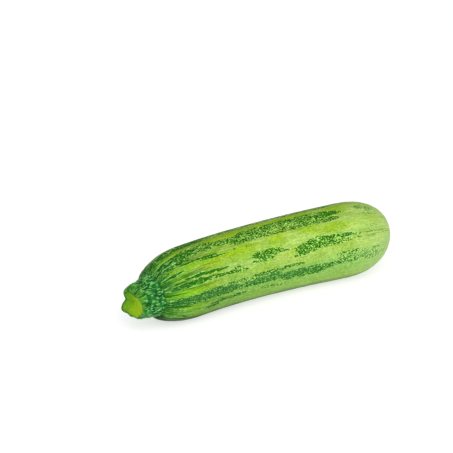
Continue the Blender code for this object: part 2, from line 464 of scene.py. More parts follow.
def far_strokes():
    """A chain of strokes for each band of the far side."""
    draw = random.Random(FAR_SEED)
    strokes = []
    for centre in FAR_BANDS:
        start = draw.uniform(0, 4)
        while start < FAR_END:
            length = draw.uniform(12, 32)
            width = draw.uniform(2.2, 7.5) * (1 - FAR_NARROWING * start)
            first, last = centre + draw.uniform(-3, 3), centre + draw.uniform(-3, 3)
            strokes.append((start, start + length, first, last, width, draw.uniform(0.75, 1.0)))
            if draw.random() < LINE_CHANCE:
                beside = centre + draw.choice((-1, 1)) * draw.uniform(8, 12)
                line_length = draw.uniform(6, 22)
                strokes.append((start, start + line_length, beside, beside, draw.uniform(1.2, 2.0), 0.8))
            start += length * draw.uniform(0.75, 1.15)
        strokes.append((144, 156, centre, centre + 2, draw.uniform(4, 8), 0.45))
    return strokes


# %% Short strokes that fan out from the stem
FIRST_SEEN, LAST_SEEN = 66, 214


def stem_fan():
    """A dark stroke in each furrow and each pleat of the shoulder's far side."""
    draw = random.Random(RIB_SEED + 1)
    strokes = []
    for i in range(2 * RIB_COUNT):
        centre = (math.degrees(RIB_ANGLES[i // 2]) + 180 / RIB_COUNT * (i % 2)) % 360
        if FIRST_SEEN < centre < LAST_SEEN:
            continue
        length = draw.uniform(14, 26) if i % 2 == 0 else draw.uniform(7, 15)
        strokes.append((-4, length, centre + draw.uniform(-2, 2), centre, draw.uniform(3.0, 4.6), 0.95))
    return strokes


# %% [markdown]
# A stroke runs out to a point at both ends. Strokes are laid over one another, and the strongest one counts.
# Two numbers come out for each point of the skin: how dark it may get there, and how deep it lies inside a
# stroke, where a band breaks up less. The ragged, lacy edge is left to the nodes, which work at a finer scale
# than the mesh.

# %% Lay the strokes on the skin
POINTED_END = 0.006
SOFT_EDGE = math.radians(1.6)
CORE_DEPTH = math.radians(4.5)


def laid(strokes, along, angle):
    """How dark each point of the skin may get under these strokes, and how deep inside a stroke it is."""
    darkness, depth = np.zeros(len(along)), np.zeros(len(along))
    for start, end, first, last, half_width, strength in strokes:
        start, end = start / 1000, end / 1000
        share = np.clip((along - start) / (end - start), 0.0, 1.0)
        centre = np.radians(first + (last - first) * share)
        from_end = np.minimum(along - start, end - along) / POINTED_END
        reach = math.radians(half_width) * np.sqrt(np.clip(from_end, 0.0, 1.0))
        aside = np.abs(apart(angle, centre))
        inside = 1 - smooth_step((aside - reach) / SOFT_EDGE + 0.5)
        darkness = np.maximum(darkness, strength * inside * (from_end > 0))
        core = strength * np.clip((reach - aside) / CORE_DEPTH, 0.0, 1.0) * (from_end > 0)
        depth = np.maximum(depth, core)
    return darkness, depth


strokes = SHOULDER_STROKES + TOP_STROKES + THIN_STROKES + MIDDLE_STROKES + LOW_STROKES + FLECK_STROKES
strokes += far_strokes() + stem_fan()
band, core = laid(strokes, along, angle)
keep_number(skin, "band", band)
keep_number(skin, "core", core)
print(len(strokes), "strokes")

# %% [markdown]
# A zucchini isn't one green. The lower bands are bluer and chalkier than the upper ones, and the crests
# between bands are warmer, above all on top near the stem. Towards the stem the skin is young and deep green.
# Each tint is a number from 0 to 1 on the points of the skin, worked out from the length and the angle, and
# the material turns it into colour. Painted vertex colours would have to be painted anew for each change.

# %% Numbers for the greens
BLUE_BANDS = (184, 242, 318)
BLUE_WIDTH, COOL_ANGLE, COOL_WIDTH, WARM_WIDTH = (math.radians(a) for a in (14, 194, 38, 8))
BLUE_AT_STEM = 0.008
COOL_START = 0.05
WARM_CRESTS = (
    (12, 0.060), (52, 0.080), (91, 0.600), (128, 0.150), (167, 0.040),
    (213, 0.060), (261, 0.050), (299, 0.060), (336, 0.060),
)
YOUNG_FADE = 0.020
CREASE_SHADE_REACH = 0.0048
FAN_REACH = 0.030

blue = sum(bump(angle, math.radians(centre), BLUE_WIDTH) for centre in BLUE_BANDS)
warm = sum(
    bump(angle, math.radians(centre), WARM_WIDTH) * np.exp(-along / reach) for centre, reach in WARM_CRESTS
)
skin_numbers = {
    "blue": np.maximum(blue, np.exp(-along / BLUE_AT_STEM)),
    "warm": warm,
    "cool": bump(angle, COOL_ANGLE, COOL_WIDTH) * smooth_step(along / COOL_START),
    "young": np.exp(-along / YOUNG_FADE),
    "fan": np.exp(-((along / FAN_REACH) ** 2)),
    # Painted shade: the skin darkens into the crease round the stub.
    "crease_shade": np.exp(-((along / CREASE_SHADE_REACH) ** 2)),
}

# %% [markdown]
# Skin that faces the ground gets painted shade, a duller green, and the painted shade is deepest right
# underneath. The blossom end has a pale bloom, with a painted sheen over it. The scar is cork with a darker
# pit.

# %% Numbers for the painted shade underneath and for the blossom end
UNDER_ANGLE, UNDER_FULL, UNDER_FADE = (math.radians(a) for a in (262, 22, 95))
BELOW_FULL, BELOW_FADE = math.radians(30), math.radians(12)
BLOOM_AND_SHEEN_START = 0.125
CORK_REACH = 1.20 * SCAR_RADIUS
PIT_REACH = 0.48 * SCAR_RADIUS

# Painted shade: the skin is darkened towards the ground, and most of all along its lowest edge.
from_under = np.abs(apart(angle, UNDER_ANGLE))
under_shade = np.clip(1 - (from_under - UNDER_FULL) / UNDER_FADE, 0, 1)
under_shade *= 1 - 0.5 * smooth_step((along - 0.03) / 0.09)
under_shade *= 0.25 + 0.75 * smooth_step(along / 0.035)
below_shade = 1 - smooth_step((from_under - BELOW_FULL) / BELOW_FADE)
skin_numbers |= {
    "under_shade": under_shade,
    "below_shade": below_shade * (1 - 0.3 * smooth_step(along / 0.12)),
    # Pale bloom towards the blossom end, with a painted sheen over it.
    "bloom_and_sheen": smooth_step((along - BLOOM_AND_SHEEN_START) / (FRUIT_LENGTH - BLOOM_AND_SHEEN_START)),
    "cork": at_tip * np.exp(-((radius / CORK_REACH) ** 6)),
    "pit": at_tip * np.exp(-((radius / PIT_REACH) ** 4)),
}
for name, values in skin_numbers.items():
    keep_number(skin, name, np.clip(values, 0, 1))
print("numbers on the skin:", ", ".join(skin_numbers))

# %% [markdown]
# The stub of the stem is the second solid. It is spun in the same way, with its rings drawn closer where the
# rim rolls over into the cut. Its ridges and the notch between two of them come from the same formula as the
# CAD's. Small knobs and lengthwise grooves are added, because a cut stem is rough and fibrous.

# %% Spin the stub
STUB_SIDES = 240
STUB_RINGS = 64
RIM_RINGS = 14
SUNK_INTO_FRUIT = 0.0004
KNOB_HEIGHT = 0.00028
KNOB_FLOOR = 0.12
KNOB_GAIN = 2.2
KNOB_NOISE = (0.0016, 0.0022, 31.0)
GROOVE_DEPTH = 0.00022
GROOVE_NOISE = (0.020, 0.0016, 21.0)
BLOOM_AND_SHEEN_ANGLE, BLOOM_AND_SHEEN_WIDTH = math.radians(75), math.radians(50)
CAP_BEHIND_CUT = 0.0030


def stub_radius(from_cut):
    """The mean radius of the stub, from 0 at the cut to 1 at the join."""
    return CUT_RADIUS + (NECK_RADIUS - CUT_RADIUS) * from_cut**FLARE_POWER


def rim_rounding(angle):
    """How far in from the stub's outline the cut face starts."""
    return RIM_ROUNDING + ROLLED_RIM * bump(angle, ROLL_ANGLE, ROLL_WIDTH)


def stub_relief(from_cut, angle):
    """The ridges of the stub, strongest at the cut, as a share of the radius."""
    strength = RIDGE_AT_CUT + (RIDGE_AT_JOIN - RIDGE_AT_CUT) * smooth_step(from_cut)
    return strength * ridges(angle + RIDGE_TWIST * (1 - from_cut))


# %% [markdown]
# The spun stub is a plain cylinder at first, one unit long, so that a ring's place on it says which part of
# the stub it is: from 0 to 1 it is the side, from 1 to 2 the rolled rim, and the last point closes the cut.

# %% Shape the stub
side_steps = np.linspace(0.0, 1.0, STUB_RINGS)
rim_steps = 1 + np.linspace(0.0, 1.0, RIM_RINGS)[1:]
stub_profile = [(0.0, 0.0)] + [(float(s), 1.0) for s in [*side_steps, *rim_steps]] + [(2.0, 0.0)]
stub_shape = spun(stub_profile, STUB_SIDES)
step, stub_angle, unit_radius = cylinder_places(stub_shape)

from_cut = 1 - np.clip(step, 0.0, 1.0)
turn = np.clip(step - 1, 0.0, 1.0) * math.pi / 2
rounding = rim_rounding(stub_angle)
side_length = STUB_LENGTH - rounding + SUNK_INTO_FRUIT
stub_along = SUNK_INTO_FRUIT - (1 - from_cut) * side_length - rounding * np.sin(turn)
stub_along = stub_along + CAP_BEHIND_CUT * (1 - unit_radius) * (step > 1.5)
outline = stub_radius(from_cut) * (1 + stub_relief(from_cut, stub_angle))

grooves = skin_noise(stub_along, stub_angle, *GROOVE_NOISE) * GROOVE_DEPTH
knobs = np.maximum(skin_noise(stub_along, stub_angle, *KNOB_NOISE) - KNOB_FLOOR, 0) * KNOB_GAIN
rough = grooves + knobs * KNOB_HEIGHT
rough *= smooth_step(from_cut / 0.12) * smooth_step((1 - from_cut) / 0.08)
stub_reach = unit_radius * (outline - rounding * (1 - np.cos(turn)) + rough)
place_vertices(stub_shape, bent(stub_along, stub_angle, stub_reach))
stub_shape.normal_update()
bmesh.ops.recalc_face_normals(stub_shape, faces=stub_shape.faces)
stub = piece("stem_skin", stub_shape, replaces="stem_stub")
straight_stub = [stub_along, NECK_RADIUS * np.cos(stub_angle), NECK_RADIUS * np.sin(stub_angle)]
keep_vector(stub, "straight", np.stack(straight_stub, axis=-1))
keep_number(stub, "rim", smooth_step((step - 0.80) / 0.9))
keep_number(stub, "knob", np.clip(knobs, 0, 1))
# Painted shade: the stub darkens into the crease where it meets the fruit.
keep_number(stub, "crease_shade", smooth_step((from_cut - 0.72) / 0.28) * (step <= 1))
# Chalky bloom on the stub's upper side, with painted light on top: more pale specks there.
keep_number(stub, "bloom_and_sheen", bump(stub_angle, BLOOM_AND_SHEEN_ANGLE, BLOOM_AND_SHEEN_WIDTH) * (1 - smooth_step(step - 0.9)))
print("stub:", len(stub.data.polygons), "faces")

# %% [markdown]
# The cut is moist flesh and not skin, so it is a piece of its own: a thin disc that fills the rolled rim. It
# is dished a little, and fibres stand up in it where the knife dragged them. A colour alone would stay too
# flat this near to the camera.

# %% Make the cut face
FACE_RINGS = 40
FACE_THICKNESS = 0.0010
FACE_PROUD = 0.00012
FIBRE_HEIGHT = 0.00016
FIBRE_NOISE = (0.0009, 0.0016, 41.0)
FIBRE_SPREAD = 0.012
RIM_OVERLAP = 0.72
RIM_CLIMB = 0.10
RIM_REACH = 0.0026

front = [(0.0, float(s)) for s in np.linspace(0.0, 1.0, FACE_RINGS)]
face_shape = spun(front + [(1.0, 1.0), (1.0, 0.0)], STUB_SIDES)
depth, face_angle, share = cylinder_places(face_shape)

face_rounding = rim_rounding(face_angle)
face_outline = stub_radius(0.0) * (1 + stub_relief(np.zeros(len(face_angle)), face_angle))
face_edge = face_outline - RIM_OVERLAP * face_rounding
dish = CUT_DISH * (1 - share**2)
fibres = FIBRE_HEIGHT * skin_noise(share * FIBRE_SPREAD, face_angle, *FIBRE_NOISE)
swell = FACE_PROUD * (1 - smooth_step((share - 0.9) / 0.1)) + fibres * (1 - share**6)
face_along = -STUB_LENGTH + dish - swell * (1 - depth) + depth * FACE_THICKNESS
face_along += RIM_CLIMB * face_rounding * share**8
place_vertices(face_shape, bent(face_along, face_angle, share * face_edge))
bmesh.ops.recalc_face_normals(face_shape, faces=face_shape.faces)
cut_face = piece("cut_face", face_shape)
face_plane = [share * np.cos(face_angle), share * np.sin(face_angle), depth]
keep_vector(cut_face, "face_plane", np.stack(face_plane, axis=-1))
to_rim = np.clip(face_outline - face_rounding - share * face_edge, 0, None)
keep_number(cut_face, "at_rim", smooth_step(1 - to_rim / RIM_REACH))
print("cut face:", len(cut_face.data.polygons), "faces")

# %% [markdown]
# Young zucchini stems are prickly. The prickles here are short cones with a few sides, sunk into the skin of
# the stub. They could be a hair system, but then they wouldn't be part of the mesh. The faces are put in order
# before the seeded draw, so that it picks the same ones each time.

# %% Prickles on the stub
PRICKLE_COUNT = 260
PRICKLE_LENGTH = (0.00045, 0.0010)
PRICKLE_RADIUS = 0.00011
PRICKLE_LEAN = 0.35
PRICKLE_OUT = 0.35
PRICKLE_SPAN = (0.10, 0.93)
PRICKLE_LOWEST = 0.004
PRICKLE_SEED = 5

prickle_draw = random.Random(PRICKLE_SEED)
on_side = (from_cut > PRICKLE_SPAN[0]) & (from_cut < PRICKLE_SPAN[1])
side_faces = [
    face
    for face in stub.data.polygons
    if all(on_side[v] for v in face.vertices) and face.center.z > PRICKLE_LOWEST
]
side_faces.sort(key=lambda face: sorted(face.vertices))
prickle_shape = bmesh.new()
for face in prickle_draw.sample(side_faces, PRICKLE_COUNT):
    length = prickle_draw.uniform(*PRICKLE_LENGTH)
    lean = Vector([prickle_draw.uniform(-PRICKLE_LEAN, PRICKLE_LEAN) for axis in range(3)])
    direction = (face.normal + lean).normalized()
    turned = direction.to_track_quat("Z", "Y").to_matrix().to_4x4()
    centre = face.center + direction * (PRICKLE_OUT * length)
    bmesh.ops.create_cone(
        prickle_shape,
        cap_ends=True,
        segments=5,
        radius1=PRICKLE_RADIUS,
        radius2=0.0,
        depth=length,
        matrix=Matrix.Translation(centre) @ turned,
    )
bmesh.ops.remove_doubles(prickle_shape, verts=prickle_shape.verts, dist=1e-7)
prickles = piece("stem_prickles", prickle_shape)
print("prickles:", PRICKLE_COUNT, "on", len(side_faces), "faces")

# %% [markdown]
# Colours next. They are written as they look on a screen, from 0 to 255, and turned into the linear values
# that the shader wants. Small helpers keep each material to a few readable lines: a new material, arithmetic,
# a soft threshold, and a tint that comes in by some share.

# %% Colour and node helpers
def seen(red, green, blue):
    """The linear colour of a colour as seen on a screen."""
    shares = [value / 255 for value in (red, green, blue)]
    return (*[s / 12.92 if s <= 0.04045 else ((s + 0.055) / 1.055) ** 2.4 for s in shares], 1.0)


def new_material(name, roughness, specular, coat=0.0, coat_roughness=0.0):
    """A material, its node tree and its shader."""
    material = bpy.data.materials.new(name)
    material.use_nodes = True
    shader = material.node_tree.nodes["Principled BSDF"]
    shader.inputs["Roughness"].default_value = roughness
    shader.inputs["Specular IOR Level"].default_value = specular
    shader.inputs["Coat Weight"].default_value = coat
    shader.inputs["Coat Roughness"].default_value = coat_roughness
    return material, material.node_tree, shader


def feed(tree, socket, value):
    """Sets an input to a number or a colour, or links it to another node's output."""
    if isinstance(value, bpy.types.NodeSocket):
        tree.links.new(value, socket)
    else:
        socket.default_value = value


def sums(tree, operation, *values, clamp=False):
    """One step of arithmetic on these values."""
    node = tree.nodes.new("ShaderNodeMath")
    node.operation = operation
    node.use_clamp = clamp
    for socket, value in zip(node.inputs, values):
        feed(tree, socket, value)
    return node.outputs[0]


def scaled(tree, value, factor, offset=0.0, clamp=False):
    """A value times a factor, plus an offset."""
    return sums(tree, "MULTIPLY_ADD", value, factor, offset, clamp=clamp)


def between(tree, value, low, high):
    """A smooth turn from 0 at low to 1 at high."""
    node = tree.nodes.new("ShaderNodeMapRange")
    node.interpolation_type = "SMOOTHSTEP"
    feed(tree, node.inputs["Value"], value)
    node.inputs["From Min"].default_value = low
    node.inputs["From Max"].default_value = high
    return node.outputs["Result"]


def blended(tree, share, first, second, way="MIX"):
    """The first colour where share is 0 and the second where it is 1."""
    node = tree.nodes.new("ShaderNodeMix")
    node.data_type = "RGBA"
    node.blend_type = way
    feed(tree, node.inputs["Factor"], share)
    feed(tree, node.inputs["A"], first)
    feed(tree, node.inputs["B"], second)
    return node.outputs["Result"]


def tinted(tree, colour, tint, share, strength=1.0, way="MIX"):
    """A colour turned towards a tint by this share of this strength."""
    return blended(tree, scaled(tree, share, strength), colour, tint, way)


# %% Attribute, noise and cell helpers
def attribute(tree, name, output="Fac"):
    """An attribute of the piece, as a number or as a vector."""
    node = tree.nodes.new("ShaderNodeAttribute")
    node.attribute_name = name
    return node.outputs[output]


def stretched(tree, vector, cell_along, cell_round, shift=0.0):
    """Coordinates in which one unit is one cell of this length and width."""
    node = tree.nodes.new("ShaderNodeMapping")
    feed(tree, node.inputs["Vector"], vector)
    node.inputs["Scale"].default_value = (1 / cell_along, 1 / cell_round, 1 / cell_round)
    node.inputs["Location"].default_value = (shift, shift, shift)
    return node.outputs["Vector"]


def noise_in(tree, vector, cell_sizes, shift=0.0, detail=2.0, roughness=0.5):
    """Smooth noise from about 0.2 to 0.8, in cells of this length and width."""
    node = tree.nodes.new("ShaderNodeTexNoise")
    feed(tree, node.inputs["Vector"], stretched(tree, vector, *cell_sizes, shift))
    node.inputs["Scale"].default_value = 1.0
    node.inputs["Detail"].default_value = detail
    node.inputs["Roughness"].default_value = roughness
    return node.outputs["Fac"]


def cells(tree, vector, output="Distance"):
    """Distance to the nearest of scattered points, or a colour drawn for each of them."""
    node = tree.nodes.new("ShaderNodeTexVoronoi")
    feed(tree, node.inputs["Vector"], vector)
    node.inputs["Scale"].default_value = 1.0
    return node.outputs[output]


def shaken(tree, vector, amount):
    """Coordinates pushed about by noise, by up to half this many units."""
    push = tree.nodes.new("ShaderNodeTexNoise")
    feed(tree, push.inputs["Vector"], vector)
    push.inputs["Scale"].default_value = 1.3
    moved = tree.nodes.new("ShaderNodeVectorMath")
    moved.operation = "MULTIPLY_ADD"
    feed(tree, moved.inputs[0], push.outputs["Color"])
    moved.inputs[1].default_value = (amount, amount, amount)
    feed(tree, moved.inputs[2], vector)
    return moved.outputs["Vector"]


def raised(tree, shader, height, distance, strength=1.0):
    """Bump from a height, in metres for a height of 1."""
    node = tree.nodes.new("ShaderNodeBump")
    node.inputs["Distance"].default_value = distance
    node.inputs["Strength"].default_value = strength
    feed(tree, node.inputs["Height"], height)
    tree.links.new(node.outputs["Normal"], shader.inputs["Normal"])


# %% [markdown]
# The skin's ground is pale green with soft clouds of a yellower green, and deepens where the fruit is young,
# near the stem. One round noise would look like camouflage. So each cloud is drawn out lengthwise, as the
# cells of a growing fruit are, and each tint only shows where its number on the skin lets it.

# %% Skin material: ground colour
GROUND_PALE = seen(169, 200, 100)
GROUND_GREEN = seen(142, 180, 58)
GROUND_YELLOW = seen(184, 192, 50)
GROUND_COOL = seen(140, 184, 96)
GROUND_WARM = seen(150, 188, 28)
GROUND_YOUNG = seen(48, 128, 0)
CLOUD_CELLS = (0.016, 0.0060)
YELLOW_CELLS = (0.024, 0.0060)

skin_material, tree, shader = new_material(
    "striped_skin", roughness=0.42, specular=0.05, coat=0.03, coat_roughness=0.20
)
on_skin = attribute(tree, "straight", "Vector")
fan = attribute(tree, "fan")
young = attribute(tree, "young")

drift = between(tree, noise_in(tree, on_skin, CLOUD_CELLS), 0.38, 0.62)
ground = blended(tree, drift, GROUND_PALE, GROUND_GREEN)
yellowed = between(tree, noise_in(tree, on_skin, YELLOW_CELLS, shift=23.0), 0.50, 0.66)
ground = tinted(tree, ground, GROUND_YELLOW, yellowed, 0.4)
ground = tinted(tree, ground, GROUND_COOL, attribute(tree, "cool"), 0.8)
warmth = sums(tree, "MULTIPLY", attribute(tree, "warm"), sums(tree, "ADD", drift, 0.45), clamp=True)
ground = tinted(tree, ground, GROUND_WARM, warmth)
ground = tinted(tree, ground, GROUND_YOUNG, young, 0.9)

# %% [markdown]
# Near the stem the skin fans out in streaks, pale and dark by turns, which thin out along the fruit. They are
# noise with cells thirty times as long as they are wide. A texture of waves would be too regular for this.

# %% Skin material: streaks and thin lines of the ground
SHADOW_GREEN = seen(96, 152, 30)
LINE_GREEN = seen(52, 112, 8)
FAN_PALE = seen(134, 200, 50)
FAN_DEEP = seen(12, 84, 0)
STREAK_CELLS = (0.010, 0.0010)
LINE_CELLS = (0.0065, 0.00055)
FAN_CELLS = (0.030, 0.0012)
GRAIN_CELLS = (0.0016, 0.0008)

streaky = scaled(tree, fan, 0.40, 0.30)
streak_noise = noise_in(tree, on_skin, STREAK_CELLS, shift=4.0, detail=3.0)
streak = sums(tree, "MULTIPLY", between(tree, streak_noise, 0.50, 0.68), streaky)
ground = tinted(tree, ground, SHADOW_GREEN, streak)
line_noise = noise_in(tree, on_skin, LINE_CELLS, shift=14.0, detail=3.0, roughness=0.6)
lines = between(tree, sums(tree, "ADD", line_noise, scaled(tree, young, 0.10)), 0.575, 0.66)
ground = tinted(tree, ground, LINE_GREEN, sums(tree, "MULTIPLY", lines, streaky))
fan_noise = noise_in(tree, on_skin, FAN_CELLS, shift=31.0)
fan_pale = sums(tree, "MULTIPLY", between(tree, fan_noise, 0.47, 0.38), fan)
ground = tinted(tree, ground, FAN_PALE, fan_pale, 0.5)
fan_deep = sums(tree, "MULTIPLY", between(tree, fan_noise, 0.50, 0.58), fan)
ground = tinted(tree, ground, FAN_DEEP, fan_deep, 0.9)
grain = between(tree, noise_in(tree, on_skin, GRAIN_CELLS, shift=19.0), 0.30, 0.70)

# %% [markdown]
# A band is lace: dark green with ragged holes. The darkness of the strokes is shaken by two noises, a coarse
# one that opens gaps and a fine one that frays the rest. What is still dark enough turns green. Near the stem
# the fine noise is drawn out into threads. Strong strokes are shaken less, so a pencil line stays whole.

# %% Skin material: broken bands
GAP_CELLS = (0.0070, 0.0022)
LACE_CELLS = (0.0011, 0.00046)
THREAD_CELLS = (0.0052, 0.00055)
GAP_STRENGTH = 2.3
LACE_STRENGTH = 6.2
NOISE_MIDDLE = 0.5
STEADY_FROM = 1.95
STEADY_BLUE = 0.18
CORE_GAIN = 0.12
FAN_LOSS = 0.24

band_here = attribute(tree, "band")
blue_here = attribute(tree, "blue")
gaps = noise_in(tree, on_skin, GAP_CELLS, shift=7.0)
lace = noise_in(tree, on_skin, LACE_CELLS, shift=11.0)
threads = noise_in(tree, on_skin, THREAD_CELLS, shift=27.0)
frayed = tinted(tree, lace, threads, fan, 0.85)
uneven = sums(
    tree,
    "ADD",
    scaled(tree, gaps, GAP_STRENGTH, -GAP_STRENGTH * NOISE_MIDDLE),
    scaled(tree, frayed, LACE_STRENGTH, -LACE_STRENGTH * NOISE_MIDDLE),
)
gate = scaled(tree, band_here, 2.4, clamp=True)
steady = scaled(tree, band_here, -1.0, STEADY_FROM, clamp=True)
steady = sums(tree, "SUBTRACT", steady, scaled(tree, blue_here, STEADY_BLUE), clamp=True)
shaking = sums(tree, "MULTIPLY", sums(tree, "MULTIPLY", uneven, gate), steady)
darkness = sums(tree, "ADD", band_here, shaking)
darkness = sums(tree, "ADD", darkness, scaled(tree, attribute(tree, "core"), CORE_GAIN))
darkness = sums(tree, "SUBTRACT", darkness, scaled(tree, fan, FAN_LOSS))
dark_here = between(tree, darkness, 0.34, 0.86)

# %% [markdown]
# Inside a band the ground is paler than outside, and small pale specks are strewn over everything. The specks
# are cells with a random size each. Noise shakes them first, because plain cells would look like beads.

# %% Skin material: pale lace and specks
LACE_PALE = seen(180, 236, 110)
LACE_YOUNG = seen(136, 210, 108)
SPECK_CELLS = (0.0014, 0.00075)
SPECK_SHAKE = 0.9
SPECK_SIZE = 0.06
SPECK_SPREAD = 0.40

lace_share = scaled(tree, band_here, 1.25, -0.45, clamp=True)
ground = tinted(tree, ground, blended(tree, fan, LACE_PALE, LACE_YOUNG), lace_share)
speck_cells = shaken(tree, stretched(tree, on_skin, *SPECK_CELLS, shift=2.0), SPECK_SHAKE)
speck_draw = tree.nodes.new("ShaderNodeSeparateColor")
feed(tree, speck_draw.inputs["Color"], cells(tree, speck_cells, "Color"))
speck_size = scaled(tree, speck_draw.outputs["Red"], SPECK_SPREAD, SPECK_SIZE)
speck = between(tree, sums(tree, "SUBTRACT", speck_size, cells(tree, speck_cells)), -0.06, 0.12)
speck = sums(tree, "MULTIPLY", speck, scaled(tree, band_here, -1.4, 2.2, clamp=True))
dark_here = sums(tree, "MULTIPLY", dark_here, scaled(tree, speck, -0.9, 1.0))

# %% [markdown]
# The bands have greens of their own. The lower ones are bluer and chalkier than the upper ones, and both
# deepen near the stem. Painted shade makes the crease round the stub the darkest place of all.

# %% Skin material: the bands' own greens
BAND_DEEP = seen(20, 82, 0)
BAND_GREEN = seen(62, 132, 4)
BAND_BLUE_DEEP = seen(34, 98, 34)
BAND_BLUE = seen(76, 140, 60)
BAND_YOUNG = seen(2, 74, 4)
CREASE_SHADE_GREEN = seen(8, 84, 24)
SPECK_PALE = seen(200, 234, 132)
GRAIN_SHARE = 0.22

deepened = between(tree, frayed, 0.42, 0.60)
green_band = blended(tree, deepened, BAND_GREEN, BAND_DEEP)
blue_band = blended(tree, deepened, BAND_BLUE, BAND_BLUE_DEEP)
band_colour = blended(tree, blue_here, green_band, blue_band)
band_colour = tinted(tree, band_colour, BAND_YOUNG, young, 0.8)
colour = blended(tree, dark_here, ground, band_colour)
# Painted shade: the crease round the stub is darkened.
in_crease_shade = sums(tree, "MULTIPLY", attribute(tree, "crease_shade"), between(tree, frayed, 0.36, 0.56))
colour = tinted(tree, colour, CREASE_SHADE_GREEN, in_crease_shade)
speck_share = sums(tree, "MULTIPLY", speck, scaled(tree, gate, 0.40, 0.10))
colour = tinted(tree, colour, SPECK_PALE, speck_share)
colour = blended(tree, GRAIN_SHARE, colour, grain, "OVERLAY")

# %% [markdown]
# Two painted shades darken the skin towards the ground, and the blossom end gets its bloom with a painted sheen
# and its scar of dry cork.
# The cork's edge is ragged: noise on the object's own coordinates nibbles at it.

# %% Skin material: painted shade underneath, bloom with painted sheen, and scar
UNDERSIDE_SHADE = seen(168, 195, 126)
EDGE_SHADE = seen(138, 152, 84)
BLOOM_AND_SHEEN = seen(196, 220, 150)
CORK = seen(170, 156, 92)
CORK_PIT = seen(98, 84, 40)
CORK_CELLS = (0.0011, 0.0011)

# Painted shade: darker towards the ground, and darkest along the lowest edge.
colour = tinted(tree, colour, UNDERSIDE_SHADE, attribute(tree, "under_shade"), way="MULTIPLY")
colour = tinted(tree, colour, EDGE_SHADE, attribute(tree, "below_shade"), way="MULTIPLY")
# Pale bloom towards the blossom end, partly a painted sheen.
colour = tinted(tree, colour, BLOOM_AND_SHEEN, attribute(tree, "bloom_and_sheen"), 0.3)
cork_colour = blended(tree, attribute(tree, "pit"), CORK, CORK_PIT)
cork_colour = blended(tree, 0.5, cork_colour, grain, "OVERLAY")
on_object = tree.nodes.new("ShaderNodeTexCoord").outputs["Object"]
nibbles = noise_in(tree, on_object, CORK_CELLS)
ragged = sums(tree, "ADD", attribute(tree, "cork"), scaled(tree, nibbles, 1.0, -NOISE_MIDDLE))
colour = tinted(tree, colour, cork_colour, between(tree, ragged, 0.38, 0.56))
feed(tree, shader.inputs["Base Color"], colour)

# %% [markdown]
# The skin is a little rough at the finest scale, and a bump from a fine noise breaks up its gloss. The thin
# clear coat that this material has stands for the skin's own wax. More coat would shine like plastic.

# %% Skin material: pores
PORE_CELLS = (0.0011, 0.0007)

pores = noise_in(tree, on_skin, PORE_CELLS, shift=17.0)
heights = sums(tree, "ADD", pores, scaled(tree, speck, 0.35))
raised(tree, shader, heights, distance=0.00010, strength=0.6)
skin.data.materials.append(skin_material)
print("skin nodes:", len(tree.nodes))

# %% [markdown]
# The stem is a deeper green with a chalky bloom. One noise does two jobs here: where it is high a pale speck
# sits on a knob, and where it is low, in the hollow between two knobs, painted shade darkens it. The upper
# side has more pale specks, chalky bloom with painted light on top, and painted shade darkens the crease where
# the stub meets the fruit. Yellower streaks run over the rim.

# %% Stem material
STEM_GREEN = seen(40, 126, 44)
STEM_DEEP = seen(0, 66, 10)
STEM_PALE = seen(124, 202, 112)
STEM_CREASE_SHADE = seen(2, 74, 12)
STEM_RIM = seen(86, 140, 8)
PATCH_CELLS = (0.0062, 0.0024)
KNOB_CELLS = (0.0021, 0.0010)
RIM_CELLS = (0.0040, 0.0009)

stem_material, tree, shader = new_material("stem_skin", roughness=0.55, specular=0.10)
on_stem = attribute(tree, "straight", "Vector")
patches = between(tree, noise_in(tree, on_stem, PATCH_CELLS), 0.36, 0.62)
stem_colour = blended(tree, patches, STEM_DEEP, STEM_GREEN)
knobbly = noise_in(tree, on_stem, KNOB_CELLS, shift=5.0)
# Painted shade: where the noise is low, in the hollows between knobs, the green is darker.
stem_colour = tinted(tree, stem_colour, STEM_DEEP, between(tree, knobbly, 0.50, 0.38), 0.7)
# Painted shade in the crease where the stub meets the fruit.
stem_colour = tinted(tree, stem_colour, STEM_CREASE_SHADE, attribute(tree, "crease_shade"), 0.7)
on_knob = scaled(tree, attribute(tree, "knob"), 0.20)
# The upper side gets more pale specks: chalky bloom with painted light on top.
in_bloom_and_sheen = scaled(tree, attribute(tree, "bloom_and_sheen"), 0.07)
pale_reach = sums(tree, "ADD", knobbly, sums(tree, "ADD", on_knob, in_bloom_and_sheen))
stem_colour = tinted(tree, stem_colour, STEM_PALE, between(tree, pale_reach, 0.55, 0.68), 0.7)
rim_streaks = between(tree, noise_in(tree, on_stem, RIM_CELLS, shift=9.0), 0.42, 0.58)
rim_reach = sums(tree, "MULTIPLY", attribute(tree, "rim"), rim_streaks)
stem_colour = tinted(tree, stem_colour, STEM_RIM, rim_reach, 0.85)
feed(tree, shader.inputs["Base Color"], stem_colour)
raised(tree, shader, knobbly, distance=0.00022, strength=0.7)
stub.data.materials.append(stem_material)
print("stem nodes:", len(tree.nodes))

# %% [markdown]
# The cut flesh is yellow green and moist. It is painted lighter and warmer towards the lit side and darker
# and greener away from it, and a ring of small bundles, the stem's own pipes, shows as paler dots. At its rim
# the skin begins, and the torn edge there is darker, partly its own colour and partly painted shade, which is
# left off on the lit side.

# %% Cut flesh material: the flesh
FLESH = seen(124, 166, 0)
FLESH_SHADED = seen(78, 132, 0)
FLESH_LIT = seen(144, 172, 0)
FLESH_DEEP = seen(84, 134, 0)
FLESH_PALE = seen(152, 182, 10)
FIBRE_CELLS = (0.16, 0.34)
LIT_X, LIT_Y = -0.9, -0.4

